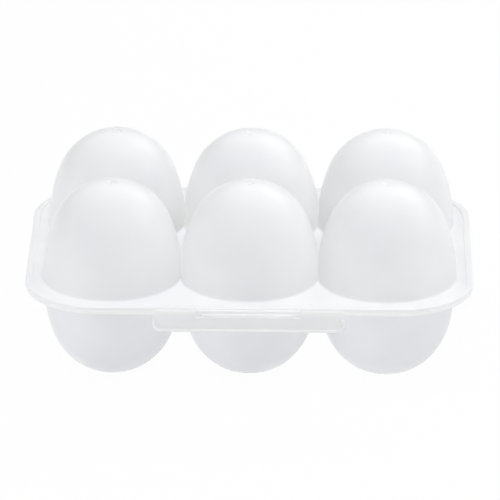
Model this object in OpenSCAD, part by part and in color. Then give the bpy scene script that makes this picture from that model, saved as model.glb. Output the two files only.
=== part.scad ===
/* [Egg cells] */
// Distance between neighbouring egg cells, along both rows and columns
cell_pitch = 48; // [47:0.5:52]
// Number of cells from left to right
columns = 3; // [2:1:5]
// Number of cells from front to back
rows = 2; // [1:1:3]

/* [Lid] */
// Outer radius of each dome where it meets the flange
dome_r = 24.4; // [23.6:0.1:25.2]
// Height of each dome above the top of the flange
dome_h = 34.6; // [30:0.1:40]
// How much smaller than the dome's radius its ball end is
dome_draw = 2.4; // [1.4:0.1:5]
// Wall of the domes
dome_wall = 1; // [0.8:0.1:1.6]
// Size of the small bevel round the foot of each dome
dome_bevel = 0.6; // [0.4:0.1:1]
// Size of the bevel round the open mouth of each dome, on the lid's underside
mouth_bevel = 1.1; // [0.6:0.1:1.5]
// Thickness of the lid's flange
lid_flange_t = 1; // [0.9:0.1:1.6]
// Width of the raised lip along the lid's edge
lip_w = 2.3; // [1.5:0.1:3]
// Height of the raised lip above the flange
lip_h = 0.4; // [0.2:0.1:0.8]
// Radius of the moulding gate's dimple on top of each dome
gate_r = 1.5; // [1:0.1:2.5]
// Depth of the gate's dimple
gate_depth = 0.4; // [0.2:0.1:0.5]
// Height of the flat pad inside each dome, behind the dimple
gate_pad = 0.15; // [0.1:0.05:0.4]

/* [Tray] */
// Outer radius of each cup
cup_r = 23.6; // [23.2:0.1:23.9]
// Straight stretch of each cup, down from the parting plane
cup_straight = 6.2; // [4:0.1:10]
// Depth of the rounded stretch of each cup, before its foot is cut flat
cup_round_h = 28.7; // [26:0.1:34]
// How much smaller than the cup's radius its ball end is
cup_draw = 1.4; // [1:0.1:4]
// Wall of the cups
cup_wall = 1; // [0.8:0.1:1.6]
// How much of the ball end is cut off to give each cup a flat foot
foot_cut = 1; // [0.5:0.1:1.6]
// Thickness of the tray's flange
tray_flange_t = 1.2; // [1:0.1:2]
// Radius of the fillet between each cup and the underside of the flange
cup_fillet_r = 1; // [0.5:0.1:1.5]
// Rounding of each cup's mouth
mouth_r = 1; // [0.4:0.1:1.2]

/* [Flange outline] */
// From the axis of an end column to the end of the flange
end_margin = 30.2; // [29:0.1:36]
// From the axis of an outer row to the front or back of the flange
side_margin = 31; // [30:0.1:36]
// Radius of the flange's corners in plan
corner_r = 26.4; // [10:0.1:28]

/* [Webs between cells] */
// Thickness of the web in the groove between two cups
cup_web_t = 1.8; // [1.6:0.1:2.4]

/* [Latch] */
// Width of the latch flap
flap_w = 66.4; // [56:0.2:80]
// From the top of the lid's flange to the bottom of the flap
flap_h = 7.7; // [6:0.1:12]
// Thickness of the flap
flap_t = 1; // [0.9:0.1:1.4]
// Radius of the flap's lower corners
flap_corner_r = 2.6; // [1:0.1:4]
// Width of the slot in the flap
slot_w = 36.2; // [32:0.2:44]
// Width of the tongue that comes through the slot
tongue_w = 32; // [24:0.2:33]
// Thickness of the tongue at its root
tongue_t = 1.15; // [0.8:0.05:1.2]
// How far the tongue stands out of the flap's face
tongue_reach = 0.95; // [0.5:0.05:1.5]

/* [Hinge] */
// From the middle of the lid to the middle of each clip hinge
hinge_x = 48; // [30:0.5:50]
// Radius of the tray's hinge rods
rod_r = 1.2; // [1:0.1:1.5]
// Radial clearance of the clips on the rods
rod_gap = 0.05; // [0.03:0.01:0.1]
// Wall of the clips round the rods
clip_wall = 0.9; // [0.8:0.1:1.2]
// Width of each clip
clip_w = 12; // [8:0.5:18]
// Thickness of each ear that holds a rod
ear_t = 2; // [1.5:0.1:3]

/* [Hidden] */
$fn = 96;

// Air between pieces that pass each other
side_gap = 0.3;
// Air between the flap's rolled edge and its seat in the lid
seat_gap = 0.05;
// How far a cut runs past the face that it opens
over = 1;
// How far joined solids run into each other
bite = 0.5;
// How far a dome's side runs on past its widest section, into the flange
dome_lap = 0.3;
// How far a cup's side runs on past its widest section, into the straight stretch
cup_lap = 0.8;
// How far arcs run past the faces that they blend into, so that they cross cleanly
blend = 0.004;
// Half the length of the short flat between an egg's side arc and its ball end
flat = 1;
// Radius of the flap's rolled edges, as a share of its thickness
roll_share = 0.6;
// Thickness of the tongue's tip, as a share of its root
tip_share = 0.35;
// Half the width of a clip's mouth, as a share of the rod's radius
mouth_share = 0.85;
// Facets of the long arcs and of the ball ends
arc_facets = 360;
// Share of a web's outline that is kept, so that its rim ends inside the two walls
web_keep = 0.97;
// Number of steps along a web's curved rim
web_steps = 12;

// Radius of the long side arc that runs smoothly into an egg's ball end
function side_arc(a, h, e) = (a * a + h * h - 2 * h * e) / (2 * (a - e));
// Radius of the egg at height z above its widest section
function radius_at(a, arc, z) = sqrt(arc * arc - z * z) - (arc - a);
// Height at which the egg's side has drawn in to radius r
function height_of(a, arc, r) = sqrt(arc * arc - pow(r + arc - a, 2));

// Radii of the ball ends
dome_top_r = dome_r - dome_draw;
cup_end_r = cup_r - cup_draw;
dome_arc = side_arc(dome_r, dome_h, dome_top_r);
cup_arc = side_arc(cup_r, cup_round_h, cup_end_r);

// Heights above the plane that the feet stand on
part_z = cup_straight + cup_round_h - foot_cut;
flange_top = part_z + lid_flange_t;

// Plan sizes
first_x = -(columns - 1) * cell_pitch / 2;
first_y = -(rows - 1) * cell_pitch / 2;
flange_w = 2 * (end_margin - first_x);
flange_d = 2 * (side_margin - first_y);
front_y = -flange_d / 2;
back_y = flange_d / 2;

// Latch: the flap hangs just in front of the flanges and turns on its rolled top edge
flap_face_y = front_y - side_gap - flap_t;
roll_r = roll_share * flap_t;
roll_y = flap_face_y + roll_r;
roll_z = flange_top - roll_r;
tip_y = flap_face_y - tongue_reach;
tongue_top = part_z - seat_gap;
tip_t = tip_share * tongue_t;
// The tongue is round below, about the flap's axis, so that the slot's lower edge passes it
tip_swing = norm([tip_y - roll_y, tongue_top - tip_t - roll_z]);
slot_bottom = roll_z - tip_swing - 2 * seat_gap;

// Hinge: the rods lie just behind the flanges, at the height of the parting plane
hinge_y = back_y + 2 * seat_gap;
clip_r = rod_r + rod_gap + clip_wall;
ear_x = clip_w / 2 + side_gap;
mouth_half = mouth_share * rod_r;

// Places the children at every egg cell
module each_cell() {
    for (i = [0 : columns - 1])
        for (j = [0 : rows - 1])
            translate([first_x + i * cell_pitch, first_y + j * cell_pitch, 0])
                children();
}

// Places the children at the groove between every two neighbouring cells, across that groove
module each_groove() {
    if (columns > 1)
        for (i = [0 : columns - 2])
            for (j = [0 : rows - 1])
                translate([first_x + (i + 0.5) * cell_pitch, first_y + j * cell_pitch, 0])
                    children();
    if (rows > 1)
        for (i = [0 : columns - 1])
            for (j = [0 : rows - 2])
                translate([first_x + i * cell_pitch, first_y + (j + 0.5) * cell_pitch, 0])
                    rotate([0, 0, 90])
                        children();
}

// Places the children at each of the two hinges
module each_hinge() {
    for (side = [-1, 1])
        translate([side * hinge_x, hinge_y, part_z])
            children();
}

// Plan of both flanges, drawn in by a given amount
module outline(inset = 0) {
    w = flange_w - 2 * inset;
    d = flange_d - 2 * inset;
    r = corner_r - inset;
    square([w - 2 * r, d], center = true);
    square([w, d - 2 * r], center = true);
    for (x = [r - w / 2, w / 2 - r])
        for (y = [r - d / 2, d / 2 - r])
            translate([x, y])
                circle(r);
}

// Half profile of an egg end, standing on its widest section: a side arc and a ball end,
// joined across a short flat
module egg_half(a, h, e, lap) {
    arc = side_arc(a, h, e);
    turn = atan2(h - e, arc - a);
    side_end = turn - flat / arc * 180 / PI;
    ball_end = turn + flat / e * 180 / PI;
    low = [a - arc + arc * cos(side_end), arc * sin(side_end)];
    high = [e * cos(ball_end), h - e + e * sin(ball_end)];
    slope = (low[0] - high[0]) / (high[1] - low[1]);
    intersection() {
        union() {
            intersection() {
                translate([a - arc, 0])
                    circle(arc, $fn = arc_facets);
                polygon([[0, -lap], [2 * arc, -lap],
                         [a - arc + 2 * arc * cos(turn), 2 * arc * sin(turn)], [0, h - e]]);
            }
            intersection() {
                translate([0, h - e])
                    circle(e, $fn = arc_facets);
                square([a, h + over]);
            }
        }
        polygon([[0, -lap], [low[0] + (low[1] + lap) * slope, -lap], [0, low[1] + low[0] / slope]]);
    }
}

// Half profile of the fillet between a straight wall at radius a and a flat face at depth z0
module wall_fillet(a, z0, r) {
    difference() {
        translate([a - bite, z0 - bite])
            square([r + bite, r + bite]);
        translate([a + r, z0 + r])
            circle(r + blend);
    }
}

// Rim of a web that stops just short of the groove where a slab meets the two walls
function web_rim(half_t) =
    let (reach = cell_pitch / 2 - half_t, top = height_of(cup_r, cup_arc, reach))
    [for (k = [0 : web_steps])
        let (z = top * sin(90 * k / web_steps), r = radius_at(cup_r, cup_arc, z))
        [web_keep * sqrt(max(0, r * r - reach * reach)), web_keep * z]];

// Web that fills the foot of the groove between two neighbouring cups
module groove_web() {
    rim = web_rim(cup_web_t / 2);
    right = [for (p = rim) [p[0], p[1] + cup_straight]];
    left = [for (k = [web_steps : -1 : 0]) [-right[k][0], right[k][1]]];
    base = [[-rim[0][0], -bite], [rim[0][0], -bite]];
    if (cup_r > cell_pitch / 2 - cup_web_t / 2)
        rotate([90, 0, 90])
            linear_extrude(cup_web_t, center = true)
                polygon(concat(base, right, left));
}

// Bar along X, centred on the hinge or latch line
module bar(r, length) {
    rotate([0, 90, 0])
        cylinder(r = r, h = length, center = true);
}

module cup_outside() {
    rotate_extrude()
        intersection() {
            union() {
                square([cup_r - blend, cup_straight]);
                translate([0, cup_straight])
                    egg_half(cup_r, cup_round_h, cup_end_r, cup_lap);
                wall_fillet(cup_r, tray_flange_t, cup_fillet_r);
            }
            square([cup_r + cup_fillet_r, part_z]);
        }
}

module cup_inside() {
    inner_r = cup_r - cup_wall;
    rotate_extrude()
        intersection() {
            union() {
                translate([0, -over])
                    square([inner_r - blend, cup_straight + over]);
                translate([0, cup_straight])
                    egg_half(inner_r, cup_round_h - cup_wall, cup_end_r - cup_wall, cup_lap);
                wall_fillet(inner_r, 0, mouth_r);
                translate([0, -over])
                    square([inner_r + mouth_r, over]);
            }
            translate([0, -over])
                square([cup_r, part_z - cup_wall + over]);
        }
}

module dome_outside() {
    bevel_top_r = radius_at(dome_r, dome_arc, dome_bevel);
    rotate_extrude()
        union() {
            egg_half(dome_r, dome_h, dome_top_r, dome_lap);
            polygon([[0, 0], [dome_r + dome_bevel, 0], [bevel_top_r, dome_bevel], [0, dome_bevel]]);
        }
}

module dome_inside() {
    inner_r = dome_r - dome_wall;
    rotate_extrude()
        intersection() {
            union() {
                egg_half(inner_r, dome_h - dome_wall, dome_top_r - dome_wall, dome_lap);
                translate([0, -lid_flange_t - over])
                    polygon([[0, 0], [inner_r + mouth_bevel, 0], [inner_r + mouth_bevel, over],
                             [inner_r, over + mouth_bevel], [0, over + mouth_bevel]]);
            }
            translate([0, -lid_flange_t - over])
                square([dome_r + mouth_bevel, lid_flange_t + over + dome_h - dome_wall - gate_pad]);
        }
}

// Egg tray: six cups in one flange, with the latch tongue in front and the hinge rods behind
module tray() {
    color([0.93, 0.94, 0.95, 0.8]) {
        difference() {
            union() {
                translate([0, 0, part_z - tray_flange_t])
                    linear_extrude(tray_flange_t)
                        outline();
                translate([0, 0, part_z])
                    mirror([0, 0, 1]) {
                        each_cell()
                            cup_outside();
                        each_groove()
                            groove_web();
                    }
            }
            translate([0, 0, part_z])
                mirror([0, 0, 1])
                    each_cell()
                        cup_inside();
            each_hinge()
                translate([-ear_x, -clip_r - side_gap, -tray_flange_t - over])
                    cube([2 * ear_x, 2 * clip_r, tray_flange_t + 2 * over]);
            translate([0, 0, part_z])
                linear_extrude(over + bite)
                    outline();
        }
        tongue();
        each_hinge() {
            bar(rod_r, 2 * ear_x + ear_t);
            for (side = [-1, 1])
                translate([side * (ear_x + ear_t / 2), 0, 0])
                    bar(clip_r, ear_t);
        }
    }
}

// Latch tongue, rounded below so that the slot slips off it
module tongue() {
    translate([-tongue_w / 2, 0, 0])
        rotate([90, 0, 90])
            linear_extrude(tongue_w)
                intersection() {
                    translate([roll_y, roll_z])
                        circle(tip_swing);
                    translate([tip_y, tongue_top - tongue_t])
                        square([front_y + bite - tip_y, tongue_t]);
                }
}

// Lid: six domes on one flange, with the flap's seat in front and the hinge clips behind
module lid() {
    color([0.95, 0.96, 0.97, 0.8]) {
        difference() {
            union() {
                translate([0, 0, part_z])
                    linear_extrude(lid_flange_t)
                        outline();
                translate([0, 0, flange_top])
                    linear_extrude(lip_h)
                        difference() {
                            outline();
                            outline(lip_w);
                        }
                translate([0, 0, flange_top])
                    each_cell()
                        dome_outside();
                flap_seats();
            }
            translate([0, 0, flange_top])
                each_cell() {
                    dome_inside();
                    translate([0, 0, dome_h - gate_depth])
                        cylinder(r = gate_r, h = over);
                }
            each_hinge()
                translate([-ear_x - ear_t - side_gap, -clip_r - side_gap, -over])
                    cube([2 * (ear_x + ear_t + side_gap), 2 * clip_r, 2 * clip_r + over]);
        }
        each_hinge()
            hinge_clip();
    }
}

// Front edge of the lid where the flap turns: a hollow seat on each side and a brow over the slot
module flap_seats() {
    seat_w = (flap_w - slot_w) / 2;
    brow_w = slot_w - 2 * side_gap;
    for (side = [-1, 1])
        translate([side * (slot_w + seat_w) / 2, 0, 0])
            difference() {
                translate([-seat_w / 2, roll_y, part_z])
                    cube([seat_w, front_y - roll_y + bite, lid_flange_t]);
                translate([0, roll_y, roll_z])
                    bar(roll_r + seat_gap, seat_w + 2 * over);
            }
    translate([-brow_w / 2, flap_face_y + seat_gap, part_z])
        cube([brow_w, front_y - flap_face_y, lid_flange_t]);
}

// Clip that snaps over a hinge rod, with its arm to the flange
module hinge_clip() {
    difference() {
        union() {
            bar(clip_r, clip_w);
            translate([-clip_w / 2, -clip_r - side_gap - bite, 0])
                cube([clip_w, clip_r + side_gap + bite, lid_flange_t]);
        }
        bar(rod_r + rod_gap, clip_w + 2 * over);
        translate([-clip_w / 2 - over, -mouth_half, -clip_r - over])
            cube([clip_w + 2 * over, 2 * mouth_half, clip_r + over]);
    }
}

// Latch flap: hangs from the lid on two rolled edges and closes over the tongue
module latch_flap() {
    seat_w = (flap_w - slot_w) / 2;
    bottom = flange_top - flap_h;
    color([0.9, 0.91, 0.92, 0.8]) {
        difference() {
            translate([0, flap_face_y + flap_t, 0])
                rotate([90, 0, 0])
                    linear_extrude(flap_t)
                        flap_outline(bottom);
            translate([-slot_w / 2, flap_face_y - over, slot_bottom])
                cube([slot_w, flap_t + 2 * over, flap_h]);
        }
        for (side = [-1, 1])
            translate([side * (slot_w + seat_w) / 2, roll_y, roll_z])
                bar(roll_r, seat_w);
    }
}

// Front view of the flap, with round lower corners
module flap_outline(bottom) {
    r = flap_corner_r;
    translate([-flap_w / 2, bottom + r])
        square([flap_w, roll_z - bottom - r]);
    translate([r - flap_w / 2, bottom])
        square([flap_w - 2 * r, flap_h - 2 * roll_r]);
    for (x = [r - flap_w / 2, flap_w / 2 - r])
        translate([x, bottom + r])
            circle(r);
}

tray();
lid();
latch_flap();
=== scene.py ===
# %% [markdown]
# # Egg keeper with a flip lid
# The real object is a thin moulded case for six hen's eggs. A tray of six egg-shaped cups hangs from a
# flat flange, and a lid of six egg-shaped domes closes over it on two clip hinges. A flap on the front
# edge of the lid snaps over a tongue of the tray. Everything is one milky, translucent polypropylene. We
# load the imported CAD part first, because every size below has to agree with it.

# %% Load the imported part
import math

import bmesh
import bpy
from mathutils import Matrix, Vector


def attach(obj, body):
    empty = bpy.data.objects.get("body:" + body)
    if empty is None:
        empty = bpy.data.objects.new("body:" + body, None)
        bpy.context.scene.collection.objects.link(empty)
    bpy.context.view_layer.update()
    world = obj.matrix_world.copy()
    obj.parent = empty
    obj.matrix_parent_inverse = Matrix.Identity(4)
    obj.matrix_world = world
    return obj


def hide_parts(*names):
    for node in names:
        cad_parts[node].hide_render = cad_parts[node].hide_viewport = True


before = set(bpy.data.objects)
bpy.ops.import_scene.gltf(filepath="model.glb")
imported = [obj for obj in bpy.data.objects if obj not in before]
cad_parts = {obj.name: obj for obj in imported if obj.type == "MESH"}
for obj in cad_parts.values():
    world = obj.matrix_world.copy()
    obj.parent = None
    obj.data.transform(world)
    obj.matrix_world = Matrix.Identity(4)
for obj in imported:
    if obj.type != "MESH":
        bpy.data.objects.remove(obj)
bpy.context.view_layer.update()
MM = 0.001

# %% [markdown]
# ## Sizes
# The same named sizes as in the CAD source, in millimetres. The domes and cups share one rule: a long
# side arc that runs smoothly into a ball end, turned round its axis and set out on a grid of three by
# two cells. The margins run from the axes of the outer cells to the edge of the flanges. Solids that are
# joined run SINK deep into each other, and cutters reach PAST the faces that they cut, so that no two
# faces lie in one plane.

# %% Sizes of the case
PITCH = 48.0
COLUMNS, ROWS = 3, 2
DOME = {"radius": 24.4, "height": 34.6, "ball": 22.0}
CUP = {"radius": 23.6, "height": 28.7, "ball": 22.2}
CUP_STRAIGHT, FOOT_CUT = 6.2, 1.0
WALL = 1.0
LID_T, TRAY_T = 1.0, 1.2
PART_Z = CUP_STRAIGHT + CUP["height"] - FOOT_CUT
TOP_Z = PART_Z + LID_T
END_MARGIN, SIDE_MARGIN, CORNER_R = 30.2, 31.0, 26.4
HALF_W = (COLUMNS - 1) / 2 * PITCH + END_MARGIN
HALF_D = (ROWS - 1) / 2 * PITCH + SIDE_MARGIN
GAP = 0.3
SINK, PAST = 0.5, 1.0
print("parting plane at", PART_Z, "mm, flange top at", TOP_Z, "mm")

# %% [markdown]
# ## A helper for sums in node trees
# Materials and Geometry Nodes trees both do small sums with Math nodes. One helper adds such a node,
# fills its inputs with sockets or plain numbers, and hands back the result, so that a sum reads almost
# like a formula.

# %% Sums in node trees
def math_node(tree, operation, *values):
    """The result of a Math node that is fed with sockets or numbers."""
    node = tree.nodes.new("ShaderNodeMath")
    node.operation = operation
    for socket, value in zip(node.inputs, values):
        if isinstance(value, bpy.types.NodeSocket):
            tree.links.new(value, socket)
        else:
            socket.default_value = value
    return node.outputs["Value"]


# %% [markdown]
# ## The milky plastic
# Polypropylene of this kind is a cloudy white. A Principled shader with some subsurface scattering and a
# small share of transmission gives its soft look. Most of the light that meets a wall one millimetre
# thick goes on through it, so the real case hardly shades itself. A transparent shader does that here.
# It is mixed in for the rays that carry light from surface to surface and not for the camera's own, so
# the plastic stays cloudy to the eye. Full transmission could do it too, but it makes noise and dark
# rims.

# %% Let light pass the walls
def let_light_through(tree, share):
    """Rays that carry light to other surfaces pass each face of a wall with this share."""
    nodes, links = tree.nodes, tree.links
    ray = nodes.new("ShaderNodeLightPath")
    carries = math_node(tree, "MAXIMUM", ray.outputs["Is Shadow Ray"], ray.outputs["Is Diffuse Ray"])
    mix = nodes.new("ShaderNodeMixShader")
    links.new(math_node(tree, "MULTIPLY", carries, share), mix.inputs["Fac"])
    links.new(nodes["Principled BSDF"].outputs["BSDF"], mix.inputs[1])
    links.new(nodes.new("ShaderNodeBsdfTransparent").outputs["BSDF"], mix.inputs[2])
    links.new(mix.outputs["Shader"], nodes["Material Output"].inputs["Surface"])


# %% [markdown]
# The plastic is never perfectly even. A soft noise, which we call the cloud, moves the tint by three per
# cent, and later the gloss too. The free edges of a milky sheet glow, because light travels inside it
# and leaves there. Each point of a piece carries a paleness from 0 to 1 for that, and the tint is mixed
# towards white by it.

# %% Tint of the plastic
CLOUD_SCALE, CLOUD_DETAIL = 55.0, 3.0
CLOUD_STOPS, CLOUD_SHADES = (0.35, 0.65), (0.97, 1.0)
PALENESS = "paleness"
EDGE_WHITE = (0.99, 0.99, 0.995, 1)


def cloud_noise(tree, place, seed):
    cloud = tree.nodes.new("ShaderNodeTexNoise")
    cloud.noise_dimensions = "4D"
    cloud.inputs["W"].default_value = seed
    cloud.inputs["Scale"].default_value = CLOUD_SCALE
    cloud.inputs["Detail"].default_value = CLOUD_DETAIL
    tree.links.new(place, cloud.inputs["Vector"])
    return cloud.outputs["Fac"]


def cloudy_tint(tree, cloud, tint):
    ramp = tree.nodes.new("ShaderNodeValToRGB")
    for stop, at, shade in zip(ramp.color_ramp.elements, CLOUD_STOPS, CLOUD_SHADES):
        stop.position = at
        stop.color = (tint[0] * shade, tint[1] * shade, tint[2] * shade, 1)
    tree.links.new(cloud, ramp.inputs["Fac"])
    return ramp.outputs["Color"]


def whitened(tree, colour):
    """The colour, mixed towards white by the paleness of each point."""
    pale, mix = tree.nodes.new("ShaderNodeAttribute"), tree.nodes.new("ShaderNodeMix")
    pale.attribute_name = PALENESS
    mix.data_type = "RGBA"
    mix.inputs["B"].default_value = EDGE_WHITE
    tree.links.new(pale.outputs["Fac"], mix.inputs["Factor"])
    tree.links.new(colour, mix.inputs["A"])
    return mix.outputs["Result"]


# %% [markdown]
# Four domes close in a small floor, and so little light gets down there that it looks greyer than the
# rest of the flange. Our walls let most light through, so they would leave it too bright. A darker tint
# puts that right, faded out with the distance from the floor's middle. Taking the absolute value of the
# place folds both floors onto one, since they lie left and right of the middle of the case.

# %% Tone of the closed-in floors
PIT_TONE = (0.89, 0.895, 0.905, 1)
PIT_FADE = (16.0, 8.0)


def shaded_pits(tree, place, colour):
    """The colour, a little darker on the small floors that four domes close in."""
    nodes, links = tree.nodes, tree.links
    folded, apart = nodes.new("ShaderNodeVectorMath"), nodes.new("ShaderNodeVectorMath")
    folded.operation, apart.operation = "ABSOLUTE", "DISTANCE"
    links.new(place, folded.inputs[0])
    links.new(folded.outputs["Vector"], apart.inputs[0])
    apart.inputs[1].default_value = (PITCH / 2 * MM, 0.0, TOP_Z * MM)
    fade, tone = nodes.new("ShaderNodeMapRange"), nodes.new("ShaderNodeMix")
    fade.inputs["From Min"].default_value = PIT_FADE[0] * MM
    fade.inputs["From Max"].default_value = PIT_FADE[1] * MM
    links.new(apart.outputs["Value"], fade.inputs["Value"])
    tone.data_type, tone.blend_type = "RGBA", "MULTIPLY"
    tone.inputs["B"].default_value = PIT_TONE
    links.new(fade.outputs["Result"], tone.inputs["Factor"])
    links.new(colour, tone.inputs["A"])
    return tone.outputs["Result"]


# %% [markdown]
# A case like this picks up fine scratches in the refrigerator. A noise that is stretched a lot along one
# direction has thin ridges, and a narrow range near its top keeps only a sparse few of them. They are
# rougher than the plastic round them and stand a hair above it, as a scratch has a burr. The cloud also
# makes a faint ripple, the last trace of how the mould was polished.

# %% Gloss and fine relief
STREAK_SCALE, STREAK_DETAIL = (60.0, 420.0, 60.0), 2.0
STREAK_TURN = (0.5, 0.4, 0.9)
RIDGE = (0.66, 0.7)
GLOSS_SPREAD, SCRATCH_GLOSS, SCRATCH_RELIEF = 0.03, 0.12, 0.5
RIPPLE_STRENGTH, RIPPLE_HEIGHT = 0.04, 0.4


def hairlines(tree, place, seed):
    """A mask of short, fine scratches. The seed turns their direction."""
    nodes, links = tree.nodes, tree.links
    turned, streaks = nodes.new("ShaderNodeMapping"), nodes.new("ShaderNodeTexNoise")
    x, y, z = STREAK_TURN
    turned.inputs["Rotation"].default_value = (x, y + seed, z * seed)
    turned.inputs["Scale"].default_value = STREAK_SCALE
    links.new(place, turned.inputs["Vector"])
    streaks.inputs["Scale"].default_value = 1.0
    streaks.inputs["Detail"].default_value = STREAK_DETAIL
    links.new(turned.outputs["Vector"], streaks.inputs["Vector"])
    ridge = nodes.new("ShaderNodeMapRange")
    ridge.inputs["From Min"].default_value, ridge.inputs["From Max"].default_value = RIDGE
    links.new(streaks.outputs["Fac"], ridge.inputs["Value"])
    return ridge.outputs["Result"]


def scuffed_gloss(tree, cloud, scratch, roughness):
    gloss = tree.nodes.new("ShaderNodeMapRange")
    gloss.inputs["To Min"].default_value = roughness - GLOSS_SPREAD
    gloss.inputs["To Max"].default_value = roughness + GLOSS_SPREAD
    tree.links.new(cloud, gloss.inputs["Value"])
    return math_node(tree, "MULTIPLY_ADD", scratch, SCRATCH_GLOSS, gloss.outputs["Result"])


def faint_relief(tree, cloud, scratch):
    ripple = tree.nodes.new("ShaderNodeBump")
    ripple.inputs["Strength"].default_value = RIPPLE_STRENGTH
    ripple.inputs["Distance"].default_value = RIPPLE_HEIGHT * MM
    height = math_node(tree, "MULTIPLY_ADD", scratch, SCRATCH_RELIEF, cloud)
    tree.links.new(height, ripple.inputs["Height"])
    return ripple.outputs["Normal"]


# %% [markdown]
# The three pieces are the same plastic with three tints. In the photograph the tray looks a shade darker
# than the lid, and the thin flap is the palest and the clearest. The tray's darker tint is painted shade
# and the flap's paler tint is painted light, while the flap's larger share of transmission is its own. Each
# has its own seed, so no pattern repeats.

# %% Milky polypropylene
SCATTER, SCATTER_DEPTH, PLASTIC_IOR = 0.5, 1.6, 1.49


def milky_plastic(name, tint, roughness, clear, through, seed):
    mat = bpy.data.materials.new(name)
    mat.use_nodes = True
    tree = mat.node_tree
    shader = tree.nodes["Principled BSDF"]
    place = tree.nodes.new("ShaderNodeTexCoord").outputs["Object"]
    cloud, scratch = cloud_noise(tree, place, seed), hairlines(tree, place, seed)
    colour = shaded_pits(tree, place, whitened(tree, cloudy_tint(tree, cloud, tint)))
    tree.links.new(colour, shader.inputs["Base Color"])
    tree.links.new(scuffed_gloss(tree, cloud, scratch, roughness), shader.inputs["Roughness"])
    tree.links.new(faint_relief(tree, cloud, scratch), shader.inputs["Normal"])
    shader.inputs["IOR"].default_value = PLASTIC_IOR
    shader.inputs["Subsurface Weight"].default_value = SCATTER
    shader.inputs["Subsurface Radius"].default_value = (1.0, 1.0, 1.0)
    shader.inputs["Subsurface Scale"].default_value = SCATTER_DEPTH * MM
    shader.inputs["Transmission Weight"].default_value = clear
    let_light_through(tree, through)
    return mat


# Painted shade in the tray's darker tint and painted light in the flap's paler tint; the lid's tint is the
# plastic's own.
LID_PLASTIC = milky_plastic("lid_milky_plastic", (0.905, 0.917, 0.945), roughness=0.3, clear=0.12,
                            through=0.985, seed=1.0)
TRAY_PLASTIC = milky_plastic("tray_milky_plastic", (0.875, 0.887, 0.92), roughness=0.33, clear=0.12,
                             through=0.95, seed=2.0)
FLAP_PLASTIC = milky_plastic("flap_milky_plastic", (0.918, 0.928, 0.952), roughness=0.3, clear=0.25,
                             through=0.92, seed=3.0)
print("plastics:", [m.name for m in (LID_PLASTIC, TRAY_PLASTIC, FLAP_PLASTIC)])

# %% [markdown]
# ## The egg profile
# Both halves of a cell are turned shapes, so all that has to be drawn is half a section. The side arc's
# radius follows from the widest radius, the height and the ball end, because the two arcs share a
# tangent where they meet. The section is a plain line of points in the XZ plane, closed on the axis at
# both ends.

# %% Draw a half section
SIDE_STEPS, BALL_STEPS, FILLET_STEPS = 14, 34, 5


def egg_points(radius, height, ball):
    """(radius, height) from the widest section up to the apex."""
    side = (radius ** 2 + height ** 2 - 2 * height * ball) / (2 * (radius - ball))
    turn = math.atan2(height - ball, side - radius)
    angles = [turn * k / SIDE_STEPS for k in range(SIDE_STEPS)]
    side_arc = [(radius - side + side * math.cos(a), side * math.sin(a)) for a in angles]
    first = math.ceil(turn / (math.pi / 2) * BALL_STEPS)
    angles = [math.pi / 2 * k / BALL_STEPS for k in range(first, BALL_STEPS)]
    ball_arc = [(ball * math.cos(a), height - ball + ball * math.sin(a)) for a in angles]
    return side_arc + ball_arc + [(0.0, height)]


def arc_points(centre, r, first, last, steps=FILLET_STEPS):
    """Points of an arc round a centre, between two angles in degrees."""
    turns = [math.radians(first + (last - first) * k / steps) for k in range(steps + 1)]
    return [(centre[0] + r * math.cos(a), centre[1] + r * math.sin(a)) for a in turns]


def half_section(name, points):
    """A line of points as an object, for the lathe below."""
    mesh = bpy.data.meshes.new(name)
    verts = [(r * MM, 0.0, z * MM) for r, z in points]
    mesh.from_pydata(verts, [(k, k + 1) for k in range(len(verts) - 1)], [])
    print(name, "has", len(verts), "points, widest", round(max(r for r, z in points), 2), "mm")
    return bpy.data.objects.new(name, mesh)


# %% [markdown]
# The lid's outer section starts inside the flange, so that the union with it is clean, and has a small
# fillet at its foot. The inner one is the same egg, drawn in by the wall. On top sits the mark of the
# moulding gate: a shallow dimple with a tiny stub in the middle, given as radii and heights from the
# dimple's rim. The arcs of the fillets stop a few degrees short of the flange and the wall, which keeps
# slivers out of the mesh.

# %% Sections of the domes
FOOT_R, MOUTH_R = 0.8, 1.2
FOOT_TURN, MOUTH_TURN = (268, 182), (264, 182)
GATE_REACH, GATE_DROP = 1.9, 0.07
GATE = [(1.75, 0.0), (1.55, -0.1), (1.4, -0.36), (1.1, -0.4), (0.62, -0.4), (0.5, -0.2), (0.36, -0.12),
        (0.0, -0.1)]


def dome_outer():
    side = [(r, z) for r, z in egg_points(**DOME) if z > FOOT_R and r > GATE_REACH]
    foot = arc_points((DOME["radius"] + FOOT_R, FOOT_R), FOOT_R, *FOOT_TURN)
    apex = [(r, DOME["height"] - GATE_DROP + z) for r, z in GATE]
    return [(0.0, -SINK), (foot[0][0], -SINK)] + foot + side + apex


def dome_inner():
    radius, height, ball = (DOME[size] - WALL for size in ("radius", "height", "ball"))
    corner = (radius + MOUTH_R, MOUTH_R - LID_T)
    mouth = arc_points(corner, MOUTH_R, *MOUTH_TURN)
    side = [(r, z) for r, z in egg_points(radius, height, ball) if z > corner[1]]
    below = -LID_T - PAST
    return [(0.0, below), (mouth[0][0], below)] + mouth + side


DOME_OUTER = half_section("dome_outer_section", dome_outer())
DOME_INNER = half_section("dome_inner_section", dome_inner())

# %% [markdown]
# The cups have a short straight stretch under the flange before they draw in, and their ends are cut
# flat to stand on. The edge of the foot is eased by a few points. A cup hangs, so its depths are turned
# into heights below the parting plane at the end.

# %% Sections of the cups
CUP_MOUTH_R = 1.0
STRAIGHT_RINGS = (3.5, 5.0)
FOOT_REACH = 7.2
FOOT_EDGE = [(6.9, 0.12), (6.5, 0.03), (6.0, 0.0), (0.0, 0.0)]


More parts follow.
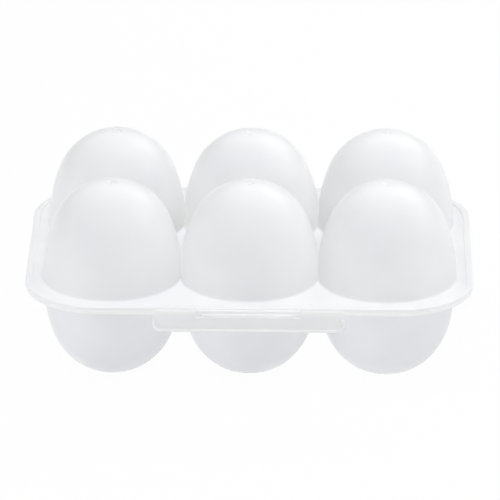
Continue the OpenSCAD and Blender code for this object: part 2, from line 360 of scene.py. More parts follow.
def cup_section(inset, top, start):
    """A cup's section drawn in by inset. It starts on the axis at one depth; its mouth begins at top."""
    radius, height, ball = (CUP[size] - inset for size in ("radius", "height", "ball"))
    foot_depth = PART_Z - inset
    side = [(r, depth + CUP_STRAIGHT) for r, depth in egg_points(radius, height, ball) if r > FOOT_REACH]
    mouth = arc_points((radius + CUP_MOUTH_R, top + CUP_MOUTH_R), CUP_MOUTH_R, *MOUTH_TURN)
    straight = [(radius, depth) for depth in STRAIGHT_RINGS]
    foot = [(r, foot_depth - up) for r, up in FOOT_EDGE]
    points = [(0.0, start), (mouth[0][0], start)] + mouth + straight + side + foot
    return [(r, -depth) for r, depth in reversed(points)]


CUP_OUTER = half_section("cup_outer_section", cup_section(0.0, top=TRAY_T, start=TRAY_T / 2))
CUP_INNER = half_section("cup_inner_section", cup_section(WALL, top=0.0, start=-PAST))

# %% [markdown]
# ## Solids by mesh code
# The flanges are slabs with one outline and several heights. Each ring of points is the outline drawn in
# by a little, so the edge comes out round and the lid's raised lip is part of the same skin.

# %% Slabs
CORNER_STEPS = 22


def outline_ring(inset):
    """Plan of the flanges, drawn in by inset, anticlockwise."""
    w, d, r = HALF_W - inset, HALF_D - inset, CORNER_R - inset
    ring = []
    for turn, (sx, sy) in zip((0, 90, 180, 270), ((1, 1), (-1, 1), (-1, -1), (1, -1))):
        ring += arc_points((sx * (w - r), sy * (d - r)), r, turn, turn + 90, CORNER_STEPS)
    return ring


def new_object(name, bm):
    bmesh.ops.recalc_face_normals(bm, faces=bm.faces)
    mesh = bpy.data.meshes.new(name)
    bm.to_mesh(mesh)
    bm.free()
    return bpy.data.objects.new(name, mesh)


def skin_between(bm, low, high):
    """A band of faces between two rings with the same number of points."""
    for k in range(len(low)):
        n = (k + 1) % len(low)
        bm.faces.new((low[k], low[n], high[n], high[k]))


def slab(name, levels):
    """A solid whose skin runs through (inset, height) levels of the outline."""
    bm = bmesh.new()
    rings = []
    for inset, z in levels:
        rings.append([bm.verts.new((x * MM, y * MM, z * MM)) for x, y in outline_ring(inset)])
    for low, high in zip(rings, rings[1:]):
        skin_between(bm, low, high)
    bm.faces.new(rings[0][::-1])
    bm.faces.new(rings[-1])
    slab_object = new_object(name, bm)
    print(name, "has", len(slab_object.data.vertices), "points")
    return slab_object


# %% [markdown]
# The small parts of the hinge and the latch are prisms: a side view, run from one end to the other.
# Where a hand would feel the edges, a small bevel softens them.

# %% Prisms
SHARP = 30.0


def prism(name, outline, low, high, soften=0.0, axis="X"):
    """An outline of (across, up) points run along an axis from low to high, with softened edges."""
    bm = bmesh.new()
    ends = []
    for at in (low, high):
        spots = [(at, across, z) if axis == "X" else (across, at, z) for across, z in outline]
        ends.append([bm.verts.new((x * MM, y * MM, z * MM)) for x, y, z in spots])
    skin_between(bm, *ends)
    bm.faces.new(ends[0][::-1])
    bm.faces.new(ends[1])
    if soften:
        sharp = [edge for edge in bm.edges if edge.calc_face_angle(0) > math.radians(SHARP)]
        bmesh.ops.bevel(bm, geom=sharp, offset=soften * MM, segments=3, affect="EDGES", clamp_overlap=True)
    return new_object(name, bm)


def box_outline(y0, y1, z0, z1):
    return [(y0, z0), (y1, z0), (y1, z1), (y0, z1)]


def circle_points(centre, r, steps):
    return arc_points(centre, r, 0, 360, steps)[:-1]


def around(middle, half):
    """The two ends of a prism that reaches half its length to either side of the middle."""
    return middle - half, middle + half


def beside(side, near, far):
    """The two ends of a prism that lies between near and far on one side of the case."""
    return sorted((side * near, side * far))


# %% [markdown]
# ## Geometry Nodes: a lathe
# The first tree turns a section into a shape. It lays a grid over it: the row of a grid point picks a
# point of the section, and its column picks the angle. A Screw modifier could turn it as well, but a
# tree can be used inside another tree, with the section and the number of segments as inputs.

# %% Build the lathe tree
SEGMENTS = 80
WELD = 0.002


def grid_row_and_column(tree, rows):
    """The row and the column of each grid point, from its index."""
    index = tree.nodes.new("GeometryNodeInputIndex").outputs["Index"]
    column = math_node(tree, "FLOOR", math_node(tree, "DIVIDE", math_node(tree, "ADD", index, 0.5), rows))
    row = math_node(tree, "SUBTRACT", index, math_node(tree, "MULTIPLY", column, rows))
    return math_node(tree, "ROUND", row), column


def turned_place(tree, section, row, share):
    """The place of a section's point after a share of a full turn round Z."""
    pick, split = tree.nodes.new("GeometryNodeSampleIndex"), tree.nodes.new("ShaderNodeSeparateXYZ")
    pick.data_type = "FLOAT_VECTOR"
    tree.links.new(section, pick.inputs["Geometry"])
    tree.links.new(tree.nodes.new("GeometryNodeInputPosition").outputs["Position"], pick.inputs["Value"])
    tree.links.new(row, pick.inputs["Index"])
    tree.links.new(pick.outputs["Value"], split.inputs["Vector"])
    angle = math_node(tree, "MULTIPLY", share, 2 * math.pi)
    join = tree.nodes.new("ShaderNodeCombineXYZ")
    for letter, operation in (("X", "COSINE"), ("Y", "SINE")):
        reach = math_node(tree, "MULTIPLY", split.outputs["X"], math_node(tree, operation, angle))
        tree.links.new(reach, join.inputs[letter])
    tree.links.new(split.outputs["Z"], join.inputs["Z"])
    return join.outputs["Vector"]


def lathe_tree():
    tree = bpy.data.node_groups.new("turned_section", "GeometryNodeTree")
    tree.interface.new_socket("Section", in_out="INPUT", socket_type="NodeSocketGeometry")
    tree.interface.new_socket("Segments", in_out="INPUT", socket_type="NodeSocketInt")
    tree.interface.new_socket("Shape", in_out="OUTPUT", socket_type="NodeSocketGeometry")
    nodes, links = tree.nodes, tree.links
    given, made = nodes.new("NodeGroupInput"), nodes.new("NodeGroupOutput")
    section, segments = given.outputs["Section"], given.outputs["Segments"]
    size, grid = nodes.new("GeometryNodeAttributeDomainSize"), nodes.new("GeometryNodeMeshGrid")
    links.new(section, size.inputs["Geometry"])
    rows = size.outputs["Point Count"]
    links.new(math_node(tree, "ADD", segments, 1), grid.inputs["Vertices X"])
    links.new(rows, grid.inputs["Vertices Y"])
    row, column = grid_row_and_column(tree, rows)
    place, weld = nodes.new("GeometryNodeSetPosition"), nodes.new("GeometryNodeMergeByDistance")
    links.new(grid.outputs["Mesh"], place.inputs["Geometry"])
    share = math_node(tree, "DIVIDE", column, segments)
    links.new(turned_place(tree, section, row, share), place.inputs["Position"])
    weld.inputs["Distance"].default_value = WELD * MM
    links.new(place.outputs["Geometry"], weld.inputs["Geometry"])
    links.new(weld.outputs["Geometry"], made.inputs["Shape"])
    return tree


LATHE = lathe_tree()
print("lathe tree has", len(LATHE.nodes), "nodes")

# %% [markdown]
# ## Geometry Nodes: a moulding from two sections
# One tree makes both mouldings, the lid and the tray. The turned shapes stand on a grid of cells as
# instances. The outer ones join the flange, then the cuts and the inner ones are taken away, and the
# small parts are added last. Solids that are closed and clean suit the Manifold solver, which is quick
# and leaves no holes.

# %% Pieces of the moulding tree
def solids_in(tree, socket):
    """The solids of a collection, each as an instance of its own."""
    node = tree.nodes.new("GeometryNodeCollectionInfo")
    node.inputs["Separate Children"].default_value = True
    tree.links.new(socket, node.inputs["Collection"])
    return node.outputs["Instances"]


def grid_of_cells(tree, given):
    """A point on the axis of every cell, at the height of the flange."""
    grid, lift = tree.nodes.new("GeometryNodeMeshGrid"), tree.nodes.new("ShaderNodeCombineXYZ")
    for letter, number in (("X", "Columns"), ("Y", "Rows")):
        steps = math_node(tree, "SUBTRACT", given.outputs[number], 1)
        length = math_node(tree, "MULTIPLY", steps, given.outputs["Pitch"])
        tree.links.new(length, grid.inputs["Size " + letter])
        tree.links.new(given.outputs[number], grid.inputs["Vertices " + letter])
    tree.links.new(given.outputs["Height"], lift.inputs["Z"])
    cells = tree.nodes.new("GeometryNodeSetPosition")
    tree.links.new(grid.outputs["Mesh"], cells.inputs["Geometry"])
    tree.links.new(lift.outputs["Vector"], cells.inputs["Offset"])
    return cells.outputs["Geometry"]


def turned_cells(tree, given, section, cells):
    """Turned copies of a section, one on every cell."""
    info, turn = tree.nodes.new("GeometryNodeObjectInfo"), tree.nodes.new("GeometryNodeGroup")
    tree.links.new(given.outputs[section], info.inputs["Object"])
    turn.node_tree = LATHE
    tree.links.new(info.outputs["Geometry"], turn.inputs["Section"])
    tree.links.new(given.outputs["Segments"], turn.inputs["Segments"])
    copies = tree.nodes.new("GeometryNodeInstanceOnPoints")
    tree.links.new(cells, copies.inputs["Points"])
    tree.links.new(turn.outputs["Shape"], copies.inputs["Instance"])
    return copies.outputs["Instances"]


def combine(tree, operation, base, *others):
    node = tree.nodes.new("GeometryNodeMeshBoolean")
    node.operation, node.solver = operation, "MANIFOLD"
    tree.links.new(base, node.inputs["Mesh 1" if operation == "DIFFERENCE" else "Mesh 2"])
    for other in others:
        tree.links.new(other, node.inputs["Mesh 2"])
    return node.outputs["Mesh"]


# %% [markdown]
# The tree's inputs are the things that differ between the lid and the tray, and the sizes of the grid.
# It ends in Realize Instances and Set Material, so that nothing stays an instance and every face has its
# plastic.

# %% Build the moulding tree
MOULDING_INPUTS = [("Flange", "Geometry"), ("Outer section", "Object"), ("Inner section", "Object"),
                   ("Pitch", "Float"), ("Columns", "Int"), ("Rows", "Int"), ("Segments", "Int"),
                   ("Height", "Float"), ("Cuts", "Collection"), ("Small parts", "Collection"),
                   ("Material", "Material")]


def moulding_tree():
    tree = bpy.data.node_groups.new("egg_cell_moulding", "GeometryNodeTree")
    tree.is_modifier = True
    for name, kind in MOULDING_INPUTS:
        tree.interface.new_socket(name, in_out="INPUT", socket_type="NodeSocket" + kind)
    tree.interface.new_socket("Moulding", in_out="OUTPUT", socket_type="NodeSocketGeometry")
    nodes, links = tree.nodes, tree.links
    given, made = nodes.new("NodeGroupInput"), nodes.new("NodeGroupOutput")
    cells = grid_of_cells(tree, given)
    outer = turned_cells(tree, given, "Outer section", cells)
    inner = turned_cells(tree, given, "Inner section", cells)
    whole = combine(tree, "UNION", given.outputs["Flange"], outer)
    hollow = combine(tree, "DIFFERENCE", whole, inner, solids_in(tree, given.outputs["Cuts"]))
    full = combine(tree, "UNION", hollow, solids_in(tree, given.outputs["Small parts"]))
    real, paint = nodes.new("GeometryNodeRealizeInstances"), nodes.new("GeometryNodeSetMaterial")
    links.new(full, real.inputs["Geometry"])
    links.new(real.outputs["Geometry"], paint.inputs["Geometry"])
    links.new(given.outputs["Material"], paint.inputs["Material"])
    links.new(paint.outputs["Geometry"], made.inputs["Moulding"])
    return tree


MOULDING = moulding_tree()
print("moulding tree has", len(MOULDING.nodes), "nodes")

# %% [markdown]
# A modifier's inputs are set by the identifiers of their sockets, before the object is first evaluated.
# The result is turned into a plain mesh, and edges sharper than 30 degrees are marked, so that the domes
# shade smoothly and the flange's edges stay crisp.

# %% Run the tree and keep a plain mesh
DOUBLES = 0.001


def plain_piece(name, source):
    """The evaluated object as a finished piece: a plain mesh at the origin."""
    graph = bpy.context.evaluated_depsgraph_get()
    mesh = bpy.data.meshes.new_from_object(source.evaluated_get(graph), depsgraph=graph)
    mesh.name = name
    bm = bmesh.new()
    bm.from_mesh(mesh)
    bmesh.ops.remove_doubles(bm, verts=bm.verts, dist=DOUBLES * MM)
    bmesh.ops.dissolve_degenerate(bm, edges=bm.edges, dist=DOUBLES * MM)
    open_edges = sum(not edge.is_manifold for edge in bm.edges)
    bm.to_mesh(mesh)
    bm.free()
    mesh.shade_smooth()
    mesh.set_sharp_from_angle(angle=math.radians(SHARP))
    piece = bpy.data.objects.new(name, mesh)
    bpy.context.scene.collection.objects.link(piece)
    bpy.data.objects.remove(source)
    print(name, "has", len(mesh.polygons), "faces,", open_edges, "open edges")
    return piece


def collection_of(name, objects):
    group = bpy.data.collections.new(name)
    for member in objects:
        group.objects.link(member)
    return group


def moulding(name, flange, inputs):
    bpy.context.scene.collection.objects.link(flange)
    shape = flange.modifiers.new("moulding", "NODES")
    shape.node_group = MOULDING
    for item in MOULDING.interface.items_tree:
        if item.in_out == "INPUT" and item.name in inputs:
            shape[item.identifier] = inputs[item.name]
    return plain_piece(name, flange)


CELL_GRID = {"Pitch": PITCH * MM, "Columns": COLUMNS, "Rows": ROWS, "Segments": SEGMENTS}

# %% [markdown]
# ## Pale edges
# The material reads the paleness of each point. A rule that looks at the point's place, in millimetres,
# gives it, and what falls outside 0 to 1 is cut off. Most rules ask how far inside the flange's outline
# a point lies.

# %% Whiten the free edges
def whiten(piece, rule):
    values = [max(0.0, min(1.0, rule(*(c / MM for c in vert.co)))) for vert in piece.data.vertices]
    piece.data.attributes.new(PALENESS, "FLOAT", "POINT").data.foreach_set("value", values)
    print(piece.name, "has", sum(value > 0 for value in values), "whitened points")


def edge_depth(x, y):
    """How far a point lies inside the outline of the flanges; negative outside."""
    dx, dy = abs(x) - (HALF_W - CORNER_R), abs(y) - (HALF_D - CORNER_R)
    if dx > 0 and dy > 0:
        return CORNER_R - math.hypot(dx, dy)
    return CORNER_R - max(dx, dy)


# %% [markdown]
# ## Hinges and latch
# The lid's clips snap over the tray's rods behind. The photograph hides both, so they are simply those
# of the CAD part. In front, the flap's rolled edges turn in seats of the lid, and its slot closes over
# the tongue. TIP_SWING is the radius on which the tongue's tip lies about the flap's axis: the flap has
# to clear it.

# %% Hinge and latch sizes
HINGE_X, ROD_R, ROD_GAP, CLIP_WALL, CLIP_W, EAR_T = 48.0, 1.2, 0.05, 0.9, 12.0, 2.0
HINGE_Y = HALF_D + 0.1
CLIP_R = ROD_R + ROD_GAP + CLIP_WALL
EAR_X = CLIP_W / 2 + GAP
FLAP_W, FLAP_H, FLAP_T, SLOT_W, ROLL_R, SEAT_GAP = 66.4, 7.7, 1.0, 36.2, 0.6, 0.05
FLAP_Y = -HALF_D - GAP - FLAP_T
ROLL_Y, ROLL_Z = FLAP_Y + ROLL_R, TOP_Z - ROLL_R
TONGUE_W, TONGUE_T, TONGUE_REACH, TIP_T = 32.0, 1.15, 0.95, 0.4
TIP_Y, TONGUE_TOP = FLAP_Y - TONGUE_REACH, PART_Z - SEAT_GAP
TIP_SWING = math.hypot(TIP_Y - ROLL_Y, TONGUE_TOP - TIP_T - ROLL_Z)
FRONT_ROOT = -HALF_D + SINK
print("hinge axis at y", HINGE_Y, "mm, flap axis at y", round(ROLL_Y, 2), "and z", round(ROLL_Z, 2), "mm")

# %% [markdown]
# ## The lid
# A clip is a ring round the rod with a mouth that opens downwards, on a short arm from the flange. A
# flap seat is a block on the front edge, hollowed to hold the back of the flap's rolled edge. Between
# the seats a brow, a plain bar with soft edges, covers the top of the flap's slot. Behind, notches give
# the tray's ears room.

# %% Parts of the lid's edge
MOUTH_SHARE = 0.85
CLIP_STEPS, BORE_STEPS, ARC_STEPS = 28, 24, 12
NOTCH_REACH = 3.0
BROW_GAP, BROW_SOFT = 0.05, 0.12


def clip_outline():
    """Side view of a clip and its arm."""
    axis, bore, mouth = (HINGE_Y, PART_Z), ROD_R + ROD_GAP, MOUTH_SHARE * ROD_R
    half = math.degrees(math.asin(mouth / bore))
    rim = math.degrees(math.asin(mouth / CLIP_R))
    back = math.degrees(math.asin(LID_T / CLIP_R))
    inner = arc_points(axis, bore, 270 - half, half - 90, BORE_STEPS)
    outer = arc_points(axis, CLIP_R, rim - 90, 180 - back, CLIP_STEPS)
    lower = arc_points(axis, CLIP_R, 180, 270 - rim, ARC_STEPS)
    root = HINGE_Y - CLIP_R - GAP - SINK
    return outer + [(root, TOP_Z), (root, PART_Z)] + lower + inner


def seat_outline():
    """Side view of a flap seat."""
    r = ROLL_R + SEAT_GAP
    low, top = (math.degrees(math.asin((z - ROLL_Z) / r)) for z in (PART_Z, TOP_Z))
    hollow = arc_points((ROLL_Y, ROLL_Z), r, low, top, ARC_STEPS)
    return [(FRONT_ROOT, PART_Z)] + hollow + [(FRONT_ROOT, TOP_Z)]


lid_parts = [prism(f"lid_clip_{side}", clip_outline(), *around(side * HINGE_X, CLIP_W / 2))
             for side in (-1, 1)]
lid_parts += [prism(f"lid_seat_{side}", seat_outline(), *beside(side, SLOT_W / 2, FLAP_W / 2))
              for side in (-1, 1)]
brow_outline = box_outline(FLAP_Y + BROW_GAP, FRONT_ROOT, PART_Z, TOP_Z)
lid_parts.append(prism("lid_brow", brow_outline, *around(0.0, SLOT_W / 2 - GAP), soften=BROW_SOFT))
NOTCH_Y = (HINGE_Y - CLIP_R - GAP, HINGE_Y + CLIP_R)
lid_notch = box_outline(*NOTCH_Y, PART_Z - PAST, PART_Z + NOTCH_REACH)
lid_cuts = [prism(f"lid_notch_{side}", lid_notch, *around(side * HINGE_X, EAR_X + EAR_T + GAP))
            for side in (-1, 1)]
print("lid's small parts:", len(lid_parts), "and cuts:", len(lid_cuts))

# %% [markdown]
# The flange has a low raised lip all round its edge, the double bright line in the photograph. Its skin
# is a list of levels. Each rounded edge is written as (inset, height) steps from the corner that it
# rounds, and then moved to the place of that corner.

# %% The lid's flange
LIP_W, LIP_H = 2.3, 0.4
LOWER_ROUND = [(0.2, 0.0), (0.06, 0.06), (0.0, 0.2)]
LIP_OUTER_ROUND = [(0.0, -0.25), (0.06, -0.08), (0.25, 0.0)]
LIP_INNER_ROUND = [(-0.2, 0.0), (-0.04, -0.06), (0.05, -0.2)]
LIP_FOOT = [(0.12, 0.05), (0.35, 0.0)]


def moved(steps, inset, z):
    return [(inset + step_in, z + step_up) for step_in, step_up in steps]


lid_levels = moved(LOWER_ROUND, 0.0, PART_Z)
lid_levels += moved(LIP_OUTER_ROUND, 0.0, TOP_Z + LIP_H) + moved(LIP_INNER_ROUND, LIP_W, TOP_Z + LIP_H)
lid_levels += moved(LIP_FOOT, LIP_W, TOP_Z)
lid_flange = slab("lid_flange", lid_levels)

# %% [markdown]
# Now the lid can be moulded. It is pale on the flange's edge, most so at the bottom. It is also pale in
# the creases where two domes run into each other, because there the light comes from both walls.

# %% Mould the lid
EDGE_PALE, EDGE_SKIN, PALE_RISE = 0.5, 0.03, 0.3
CREASE_REACH, CREASE_FOOT, CREASE_PALE, CREASE_FADE = 9.0, 0.9, 1.15, 26.0


def lid_paleness(x, y, z):
    """Pale at the foot of the flange's edge and, fading upwards, near the creases."""
    if z < TOP_Z:
        return EDGE_PALE * (edge_depth(x, y) < EDGE_SKIN) * (TOP_Z + PALE_RISE - z)
    near = min(abs(abs(x) - PITCH / 2), abs(y))
    fade = CREASE_PALE - (z - TOP_Z) / CREASE_FADE
    return (1 - near / CREASE_REACH) * fade * (z > TOP_Z + CREASE_FOOT)


lid = moulding("lid_shell", lid_flange, {
    **CELL_GRID, "Outer section": DOME_OUTER, "Inner section": DOME_INNER, "Height": TOP_Z * MM,
    "Cuts": collection_of("lid_cuts", lid_cuts), "Small parts": collection_of("lid_parts", lid_parts),
    "Material": LID_PLASTIC})
whiten(lid, lid_paleness)
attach(lid, "lid")
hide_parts("lid")

# %% [markdown]
# ## The tray
# The same tree with the sections turned over. Thin webs fill the grooves where two cups all but touch.
# The tongue of the latch stands out in front, round below about the flap's axis. Behind, each ear holds
# one end of a hinge rod.

# %% Webs and tongue of the tray
WEB_T = 1.8
WEB_SIDE = [(6.6, 0.6), (6.5, 6.5), (5.6, 9.5), (3.6, 11.6)]
WEB_DEPTH = 12.4
TIP_ROUND = (0.12, 0.1)
TIP_STEPS = 8


def web_outline(middle):
    """Front view of the web between two cups, down to where the cups part."""
    right = [(middle + across, PART_Z - depth) for across, depth in WEB_SIDE]
    left = [(middle - across, PART_Z - depth) for across, depth in WEB_SIDE]
    return left[:1] + right + [(middle, PART_Z - WEB_DEPTH)] + left[:0:-1]


def tongue_outline():
    """Side view of the tongue."""
    def turn_at(z):
        return 180 + math.degrees(math.asin((ROLL_Z - z) / TIP_SWING))

    low = TONGUE_TOP - TONGUE_T
    tip = [(TIP_Y + TIP_ROUND[0], TONGUE_TOP), (TIP_Y, TONGUE_TOP - TIP_ROUND[1])]
    under = arc_points((ROLL_Y, ROLL_Z), TIP_SWING, turn_at(TONGUE_TOP - TIP_T), turn_at(low), TIP_STEPS)
    return [(FRONT_ROOT, TONGUE_TOP)] + tip + under + [(FRONT_ROOT, low)]


tray_parts = [prism("tray_tongue", tongue_outline(), *around(0.0, TONGUE_W / 2))]
for j in (-0.5, 0.5):
    for i in (-0.5, 0.5):
        web = prism(f"tray_web_{i}_{j}", web_outline(j * PITCH), *around(i * PITCH, WEB_T / 2))
        tray_parts.append(web)
for i in (-1, 0, 1):
    tray_parts.append(prism(f"tray_web_{i}", web_outline(i * PITCH), *around(0.0, WEB_T / 2), axis="Y"))
print("tongue and webs:", len(tray_parts))

# %% [markdown]
# The rods run through the clips and end inside the ears. A notch in the flange gives each clip room to
# turn.

# %% Rods and ears of the tray
ROD_STEPS = 32
EAR_SOFT = 0.15

hinge_axis = (HINGE_Y, PART_Z)
ear_outline, rod_outline = (circle_points(hinge_axis, r, ROD_STEPS) for r in (CLIP_R, ROD_R))
for side in (-1, 1):
    middle = side * HINGE_X
    tray_parts.append(prism(f"tray_rod_{side}", rod_outline, *around(middle, EAR_X + SINK)))
    for end in (-1, 1):
        span = around(middle + end * (EAR_X + EAR_T / 2), EAR_T / 2)
        tray_parts.append(prism(f"tray_ear_{side}_{end}", ear_outline, *span, soften=EAR_SOFT))
tray_notch = box_outline(*NOTCH_Y, PART_Z - NOTCH_REACH, PART_Z + PAST)
tray_cuts = [prism(f"tray_notch_{side}", tray_notch, *around(side * HINGE_X, EAR_X)) for side in (-1, 1)]
print("tray's small parts:", len(tray_parts), "and cuts:", len(tray_cuts))

# %% [markdown]
# The tray's flange is a plain slab with rounded edges. It ends a hair under the parting plane, because
# two faces in one plane would flicker. The light leaves it by its edge, which is palest at the bottom.

# %% Mould the tray
PLANE_GAP = 0.02
TRAY_LOWER_ROUND = [(0.3, 0.0), (0.09, 0.09), (0.0, 0.3)]
TRAY_UPPER_ROUND = [(0.0, -0.25), (0.07, -0.07), (0.25, 0.0)]
TRAY_EDGE_SKIN, TRAY_EDGE_DEPTH = 0.35, 1.5


def tray_paleness(x, y, z):
    on_edge = edge_depth(x, y) < TRAY_EDGE_SKIN and z > PART_Z - TRAY_EDGE_DEPTH
    return on_edge * (PART_Z + PALE_RISE - z) / TRAY_T


tray_levels = moved(TRAY_LOWER_ROUND, 0.0, PART_Z - TRAY_T)
tray_levels += moved(TRAY_UPPER_ROUND, 0.0, PART_Z - PLANE_GAP)
tray = moulding("tray_shell", slab("tray_flange", tray_levels), {
    **CELL_GRID, "Outer section": CUP_OUTER, "Inner section": CUP_INNER, "Height": PART_Z * MM,
    "Cuts": collection_of("tray_cuts", tray_cuts), "Small parts": collection_of("tray_parts", tray_parts),
    "Material": TRAY_PLASTIC})
whiten(tray, tray_paleness)
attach(tray, "tray")
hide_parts("tray")

# %% [markdown]
# ## The latch flap
# The flap is a flat strip with round lower corners and a wide slot in its upper half. Its two upper ends
# are rolled edges that turn in the lid's seats. The front view is drawn as one outline, and the rolls
# are added.

# %% Cut out the flap
FLAP_CORNER_R = 2.6
FLAP_STEPS, ROLL_STEPS = 8, 28
FLAP_SOFT, ROLL_SOFT = 0.22, 0.1


def flap_front():
    """Front view of the flap: round lower corners, and the slot from above."""
    half, slot, r = FLAP_W / 2, SLOT_W / 2, FLAP_CORNER_R
    corner_z = TOP_Z - FLAP_H + r
    slot_low = ROLL_Z - TIP_SWING - 2 * SEAT_GAP
    right = arc_points((half - r, corner_z), r, -90, 0, FLAP_STEPS)
    left = arc_points((r - half, corner_z), r, 180, 270, FLAP_STEPS)
    inside = [(slot, ROLL_Z), (slot, slot_low), (-slot, slot_low), (-slot, ROLL_Z)]
    return right + [(half, ROLL_Z)] + inside + [(-half, ROLL_Z)] + left


flap_parts = [prism("flap_face", flap_front(), FLAP_Y, FLAP_Y + FLAP_T, soften=FLAP_SOFT, axis="Y")]
flap_roll = circle_points((ROLL_Y, ROLL_Z), ROLL_R, ROLL_STEPS)
for side in (-1, 1):
    span = beside(side, SLOT_W / 2, FLAP_W / 2)
    flap_parts.append(prism(f"flap_roll_{side}", flap_roll, *span, soften=ROLL_SOFT))
print("face and rolls of the flap:", len(flap_parts))

# %% [markdown]
# A round bead runs along the lower edge and both corners, for the fingertip that lifts the flap. Its
# path is one line of points, and each point carries a ring of the bead's skin, square to the path.

# %% Bead of the flap
BEAD_R, BEAD_OUT, BEAD_UP, BEAD_SIDES, BEAD_STEPS = 0.5, 0.15, 4.2, 12, 10


def bead_path():
    """The left half from its upper end to the middle, and the same points mirrored."""
    turn = FLAP_CORNER_R - BEAD_R
    low, half = TOP_Z - FLAP_H + BEAD_R, FLAP_W / 2 - BEAD_R
    path = [(-half, low + BEAD_UP)] + arc_points((turn - half, low + turn), turn, 180, 270, BEAD_STEPS)
    return path + [(-x, z) for x, z in reversed(path)]


def bead(name, path):
    """A round bead along a line of (x, z) points on the flap's face, closed at both ends."""
    bm = bmesh.new()
    rings = []
    for k, (x, z) in enumerate(path):
        (ax, az), (bx, bz) = path[max(k - 1, 0)], path[min(k + 1, len(path) - 1)]
        length = math.hypot(bx - ax, bz - az)
        nx, nz = (bz - az) / length, (ax - bx) / length
        round_points = circle_points((0.0, FLAP_Y - BEAD_OUT), BEAD_R, BEAD_SIDES)
        spots = [(x + nx * out, y, z + nz * out) for out, y in round_points]
        rings.append([bm.verts.new([c * MM for c in spot]) for spot in spots])
    for low, high in zip(rings, rings[1:]):
        skin_between(bm, low, high)
    bm.faces.new(rings[0][::-1])
    bm.faces.new(rings[-1])
    return new_object(name, bm)


flap_parts.append(bead("flap_bead", bead_path()))
print("bead follows", len(bead_path()), "points")

# %% [markdown]
# The flap's solids become one skin with Boolean modifiers. Its colour is painted white on the bead, a
# painted glow of the light that leaves the lower edge. It also grows paler from the foot of the slot up to
# the rolled edges, a painted light where the lit flange of the tray shows through the thin flap.

# %% Join the flap
BAND_PALE, BAND_RISE, BAND_FADE, BEAD_SKIN = 0.45, 0.2, 0.4, 0.02


def join_solids(name, solids, material):
    """One skin round several overlapping solids."""
    base, others = solids[0], solids[1:]
    for solid in solids:
        bpy.context.scene.collection.objects.link(solid)
    for other in others:
        union = base.modifiers.new("join", "BOOLEAN")
        union.operation, union.solver, union.object = "UNION", "MANIFOLD", other
    piece = plain_piece(name, base)
    for other in others:
        bpy.data.objects.remove(other)
    piece.data.materials.clear()
    piece.data.materials.append(material)
    return piece


def flap_paleness(x, y, z):
    """Painted glow: white on the bead, and paler towards the rolled edges, where the lit tray shows
    through.
    """
    on_bead = float(y < FLAP_Y - BEAD_SKIN)
    band = (z - (PART_Z - TRAY_T) + BAND_RISE) / BAND_FADE if z < TOP_Z else 1.0
    return max(on_bead, BAND_PALE * band)


flap = join_solids("latch_flap_panel", flap_parts, FLAP_PLASTIC)
# Painted light on the flap: a glow on the bead, and the lit tray seen through it higher up.
whiten(flap, flap_paleness)
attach(flap, "latch")
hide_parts("latch_flap")

# %% [markdown]
# ## Floor
# The photograph is a cut-out on white. The floor glows white to the camera and to reflections, and the
# small share of it that is plain paint keeps a little of the case's soft shadow.

# %% White floor
FLOOR_HALF, FLOOR_GLOW = 6.0, 0.94


def floor_paint():
    mat = bpy.data.materials.new("floor_white")
    mat.use_nodes = True
    tree = mat.node_tree
    tree.nodes.clear()
    out, mix = tree.nodes.new("ShaderNodeOutputMaterial"), tree.nodes.new("ShaderNodeMixShader")
    paint, glow = tree.nodes.new("ShaderNodeBsdfDiffuse"), tree.nodes.new("ShaderNodeEmission")
    paint.inputs["Color"].default_value = (0.9, 0.9, 0.9, 1)
    ray = tree.nodes.new("ShaderNodeLightPath")
    seen = math_node(tree, "MAXIMUM", ray.outputs["Is Camera Ray"], ray.outputs["Is Glossy Ray"])
    seen = math_node(tree, "MAXIMUM", seen, ray.outputs["Is Transmission Ray"])
    tree.links.new(math_node(tree, "MULTIPLY", seen, FLOOR_GLOW), mix.inputs["Fac"])
    tree.links.new(paint.outputs["BSDF"], mix.inputs[1])
    tree.links.new(glow.outputs["Emission"], mix.inputs[2])
    tree.links.new(mix.outputs["Shader"], out.inputs["Surface"])
    return mat


def white_floor():
    bm = bmesh.new()
    bmesh.ops.create_grid(bm, x_segments=1, y_segments=1, size=FLOOR_HALF)
    plane = new_object("floor", bm)
    bpy.context.scene.collection.objects.link(plane)
    plane.data.materials.append(floor_paint())
    return plane


floor = white_floor()
print("floor is", 2 * FLOOR_HALF, "m wide")

# %% [markdown]
# ## Light
# The case was photographed in a soft light from all round, with one lamp behind it on the right that is
# mirrored in the domes as long pale gleams. So a weak white sky and six broad lamps light it, and only
# the lamp called gleam shows up in reflections. Their powers were found by rendering each lamp alone and
# comparing the tones of many spots with the photograph. Places and sizes are in metres here, and powers
# in watts.

# %% Sky and lamps
SKY = 0.33
AIM = (0.0, 0.0, 0.035)
LAMPS = {
    "gleam": {"spot": (0.47, 0.63, 0.655), "size": (0.55, 0.4), "power": 0.9},
    "overhead": {"spot": (0.2, 0.1, 0.8), "size": (0.6, 0.6), "power": 1.0},
    "behind": {"spot": (0.0, 0.7, 0.7), "size": (0.8, 0.4), "power": 2.1},
    "front": {"spot": (0.0, -0.7, 0.8), "size": (0.8, 0.4), "power": 3.4},
    "right": {"spot": (0.7, 0.0, 0.7), "size": (0.4, 0.6), "power": 2.2},
    "left": {"spot": (-1.0, -0.1, 0.3), "size": (0.5, 0.4), "power": 2.3},
}


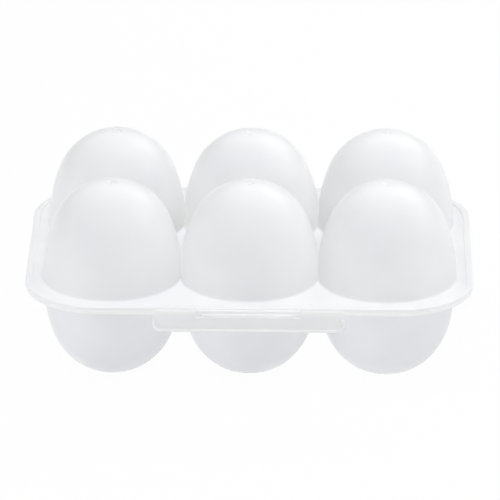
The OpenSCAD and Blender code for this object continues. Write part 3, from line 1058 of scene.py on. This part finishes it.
def white_sky(strength):
    """A weak sky for the light, and plain white for the camera."""
    world = bpy.data.worlds.new("sky")
    bpy.context.scene.world = world
    world.use_nodes = True
    nodes, links = world.node_tree.nodes, world.node_tree.links
    sky, ray, blend = nodes["Background"], nodes.new("ShaderNodeLightPath"), nodes.new("ShaderNodeMapRange")
    sky.inputs["Color"].default_value = (1, 1, 1, 1)
    blend.inputs["To Min"].default_value = strength
    blend.inputs["To Max"].default_value = 1.0
    links.new(ray.outputs["Is Camera Ray"], blend.inputs["Value"])
    links.new(blend.outputs["Result"], sky.inputs["Strength"])


def soft_lamp(name, spot, size, power):
    light = bpy.data.lights.new(name, "AREA")
    light.shape, light.energy = "RECTANGLE", power
    light.size, light.size_y = size
    lamp = bpy.data.objects.new(name, light)
    lamp.location = spot
    lamp.rotation_euler = (Vector(AIM) - Vector(spot)).to_track_quat("-Z", "Y").to_euler()
    lamp.visible_glossy = name == "gleam"
    bpy.context.scene.collection.objects.link(lamp)


white_sky(SKY)
for name, settings in LAMPS.items():
    soft_lamp(name, **settings)
print("sky and", len(LAMPS), "lamps are in")

# %% [markdown]
# ## Camera
# The place, tilt and lens come from a fit of the case's own sizes to the outlines in the photograph. The
# lens is long, so the rows hardly grow smaller towards the back. The place is in metres, the turns are
# in degrees, and the lens follows from its length in pixels of the picture.

# %% Camera at the photograph's view
SENSOR, IMAGE_PX, FOCAL_PX = 36.0, 500, 5127.39
CAMERA_PLACE = (0.02233, -1.67293, 0.74655)
CAMERA_PAN, CAMERA_TILT, CAMERA_ROLL = 0.77, 23.07, 0.10
NEAREST, FARTHEST = 0.05, 50.0

lens = bpy.data.cameras.new("camera")
lens.sensor_width, lens.lens = SENSOR, FOCAL_PX * SENSOR / IMAGE_PX
lens.clip_start, lens.clip_end = NEAREST, FARTHEST
pan = Matrix.Rotation(math.radians(CAMERA_PAN), 4, "Z")
tilt = Matrix.Rotation(math.radians(90 - CAMERA_TILT), 4, "X")
roll = Matrix.Rotation(math.radians(CAMERA_ROLL), 4, "Z")
camera = bpy.data.objects.new("camera", lens)
camera.matrix_world = Matrix.Translation(CAMERA_PLACE) @ pan @ tilt @ roll
bpy.context.scene.collection.objects.link(camera)
bpy.context.scene.camera = camera
bpy.context.scene.view_settings.view_transform = "Standard"
print("lens", round(lens.lens, 1), "mm")
